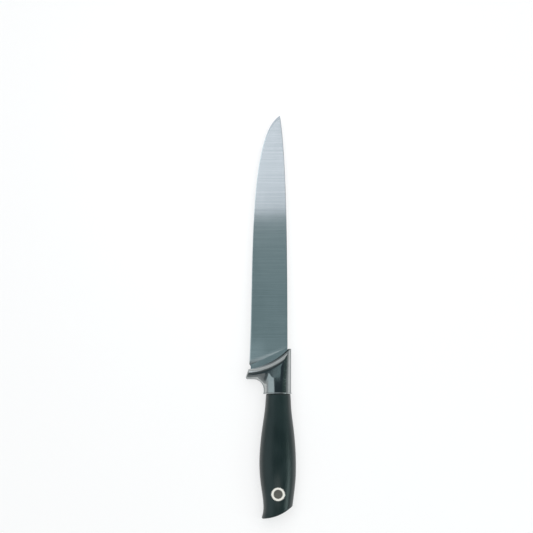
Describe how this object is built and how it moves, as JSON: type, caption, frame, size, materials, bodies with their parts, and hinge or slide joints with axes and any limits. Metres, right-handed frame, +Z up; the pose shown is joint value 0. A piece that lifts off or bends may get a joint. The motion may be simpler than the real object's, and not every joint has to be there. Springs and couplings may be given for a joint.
{
  "type": "carving knife",
  "caption": "Carving knife with a long upswept blade, a sloped bolster with finger guard, and a black soft-touch handle with a round steel rivet cap.",
  "frame": {"origin": "under the middle of the knife's bounding box, on the surface it lies on, with the knife on its side", "axes": "+Y towards the tip, +X towards the spine, +Z up through the knife's thickness"},
  "size_m": [0.0404, 0.3246, 0.0205],
  "materials": {
    "blade_steel": "satin, ground across the blade",
    "bolster_steel": "fine satin, near polished",
    "core_plastic": "matt moulding",
    "grip_rubber": "soft-touch satin black",
    "rivet_steel": "turned",
    "cap_steel": "polished rim, dished satin middle"
  },
  "bodies": {
    "root": {"blade": "blade_steel", "bolster": "bolster_steel", "handle_core": "core_plastic", "handle_grip": "grip_rubber", "rivet_sleeve": "rivet_steel", "rivet_stud": "rivet_steel", "medallion": "cap_steel"}
  },
  "joints": []
}
